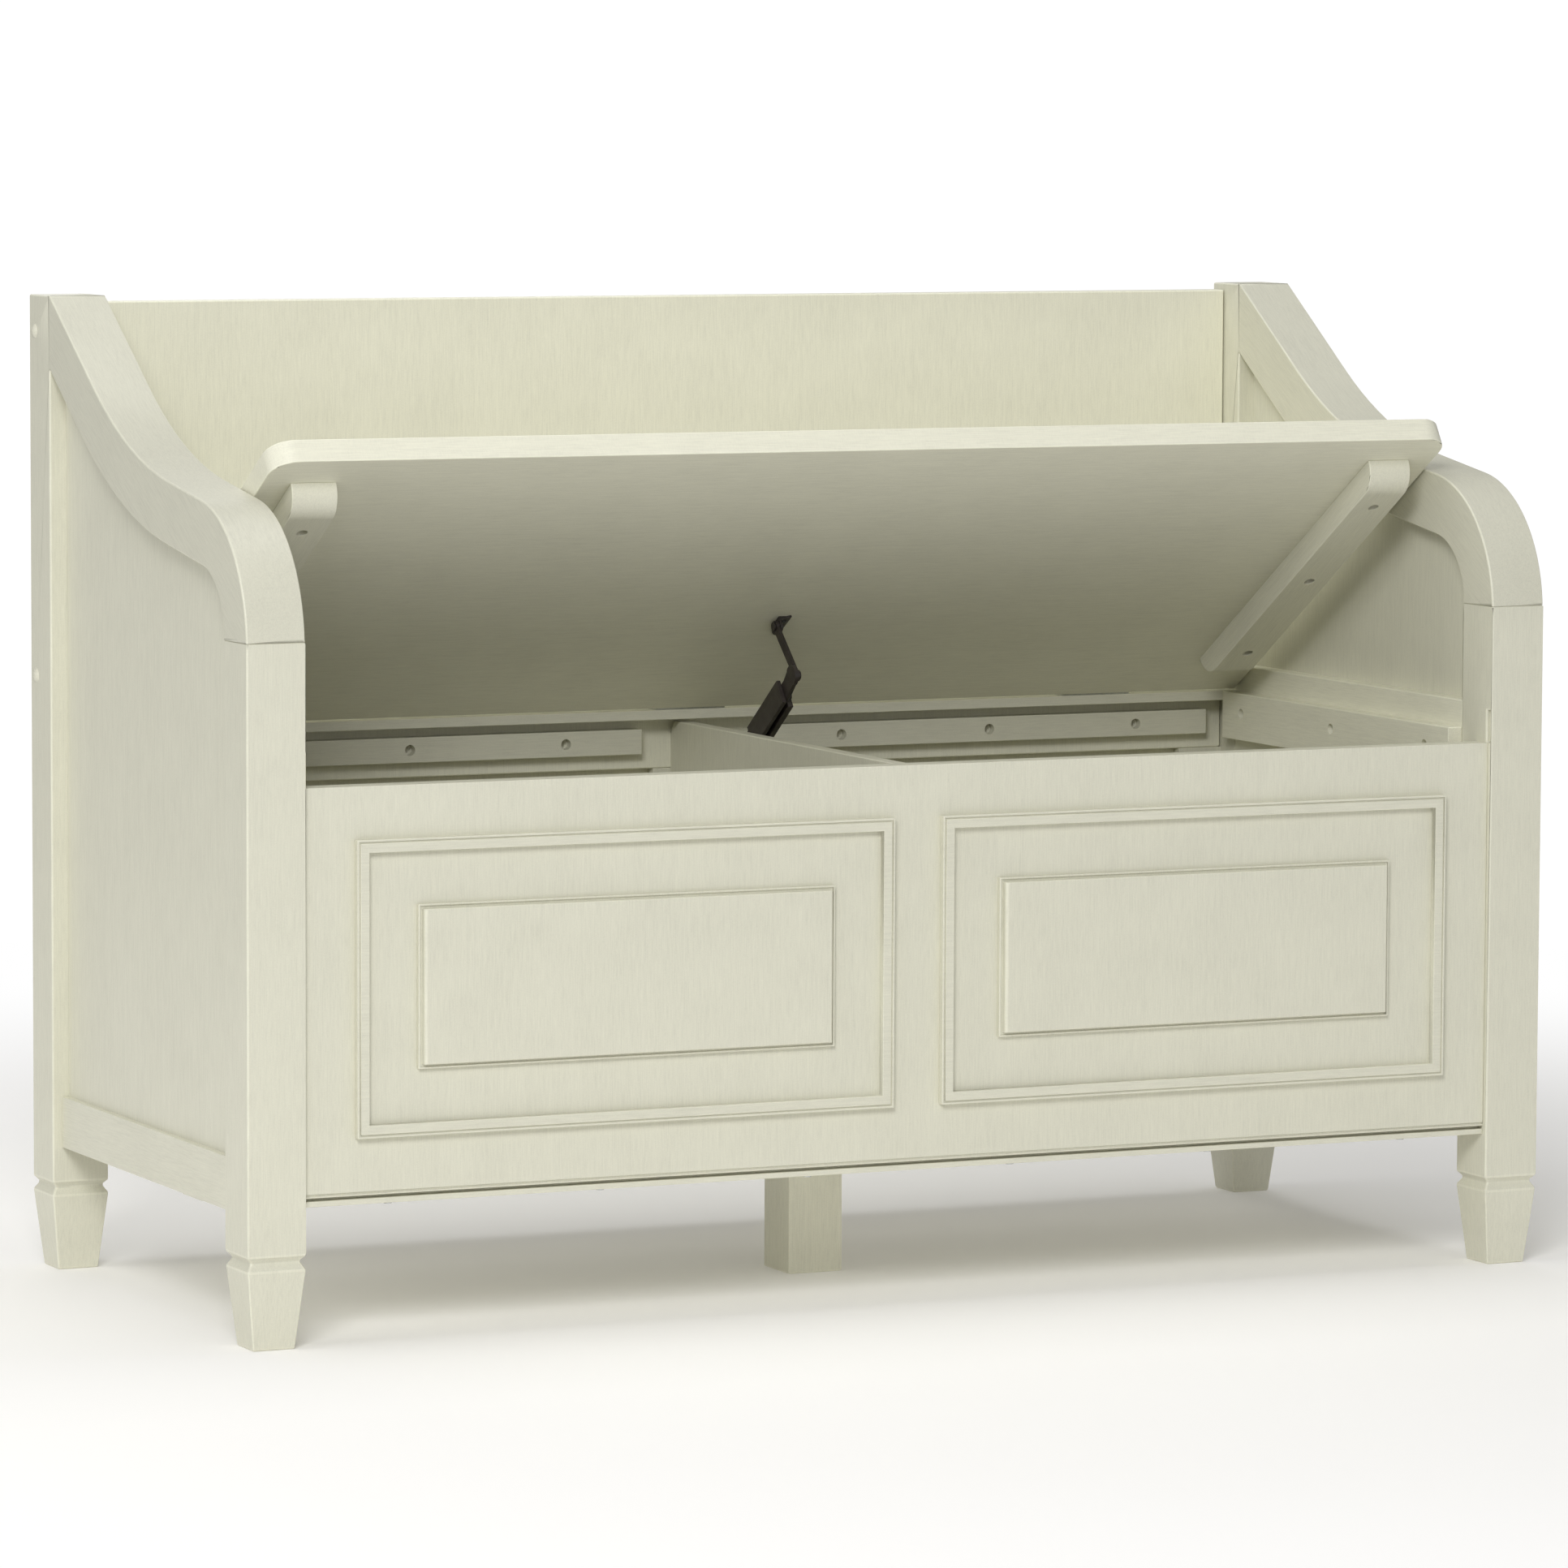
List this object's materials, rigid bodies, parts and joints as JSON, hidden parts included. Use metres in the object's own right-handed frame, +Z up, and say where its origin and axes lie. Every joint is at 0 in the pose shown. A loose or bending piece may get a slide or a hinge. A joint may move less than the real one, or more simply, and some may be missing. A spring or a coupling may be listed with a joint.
{
  "type": "storage bench",
  "caption": "Painted wooden settle with a lidded seat box, shaped arm rails, a boarded back, framed front ornaments and a lid stay.",
  "frame": {"origin": "on the floor, midway between the sides and between the front ornament's face and the rear posts' faces", "axes": "+X to the right as seen from the front, +Y to the back, +Z up"},
  "size_m": [1.0722, 0.4626, 0.7464],
  "materials": {
    "painted_wood": "satin off-white paint with fine brush streaks along the grain",
    "plain_wood": "bare beech",
    "zinc_steel": "zinc plated",
    "black_metal": "satin black"
  },
  "bodies": {
    "frame": {"left_front_post": "painted_wood", "right_front_post": "painted_wood", "left_rear_post": "painted_wood", "right_rear_post": "painted_wood", "left_arm_rail": "painted_wood", "right_arm_rail": "painted_wood", "left_side_panel": "painted_wood", "right_side_panel": "painted_wood", "left_bottom_rail": "painted_wood", "right_bottom_rail": "painted_wood", "left_seat_rail": "painted_wood", "right_seat_rail": "painted_wood", "left_side_cleat": "painted_wood", "right_side_cleat": "painted_wood", "front_panel": "painted_wood", "left_moulding": "painted_wood", "right_moulding": "painted_wood", "left_raised_plate": "painted_wood", "right_raised_plate": "painted_wood", "bottom_panel": "painted_wood", "centre_bearer": "painted_wood", "centre_leg": "painted_wood", "divider": "painted_wood", "rear_bottom_rail": "painted_wood", "back_stiles": "painted_wood", "lower_back_board": "painted_wood", "upper_back_panel": "painted_wood", "left_rear_cleat": "painted_wood", "right_rear_cleat": "painted_wood", "hinge_strip": "painted_wood", "arm_dowels": "plain_wood", "side_rail_dowels": "plain_wood", "cross_dowels": "plain_wood", "divider_dowels": "plain_wood", "leg_dowel": "plain_wood", "back_bolts": "zinc_steel", "screw_caps": "painted_wood", "cleat_screws": "zinc_steel", "back_board_screws": "zinc_steel", "bottom_screws": "zinc_steel", "hinge_seat_leaves": "zinc_steel", "hinge_pins": "zinc_steel", "hinge_seat_screws": "zinc_steel", "stay_pivot_pin": "black_metal", "stay_washer": "zinc_steel"},
    "lid": {"lid_board": "painted_wood", "left_lid_batten": "painted_wood", "right_lid_batten": "painted_wood", "batten_screws": "zinc_steel", "hinge_lid_leaves": "zinc_steel", "hinge_lid_screws": "zinc_steel", "stay_lid_bracket": "black_metal", "bracket_screws": "black_metal", "bracket_pin": "black_metal"},
    "stay_arm": {"stay_channel": "black_metal", "stay_inner_arm": "black_metal", "stay_rivets": "black_metal"},
    "stay_link": {"stay_link": "black_metal"}
  },
  "joints": [
    {"name": "lid_hinge", "type": "hinge", "parent": "frame", "child": "lid", "pos_m": [0, 0.18705, 0.417], "axis": [-1, 0, 0], "range_deg": [-32.3, 4]},
    {"name": "stay_arm_pivot", "type": "hinge", "parent": "frame", "child": "stay_arm", "pos_m": [0.0122, 0.08425, 0.399], "axis": [-1, 0, 0], "range_deg": [-56.6, 7.1]},
    {"name": "stay_link_pivot", "type": "hinge", "parent": "lid", "child": "stay_link", "pos_m": [0.015, 0.05779, 0.48913], "axis": [-1, 0, 0], "range_deg": [-4.4, 34.7]}
  ],
  "couplings": [
    {"joint": "stay_arm_pivot", "follows": "lid_hinge", "ratio": 1.75},
    {"joint": "stay_link_pivot", "follows": "lid_hinge", "ratio": -1.07}
  ]
}
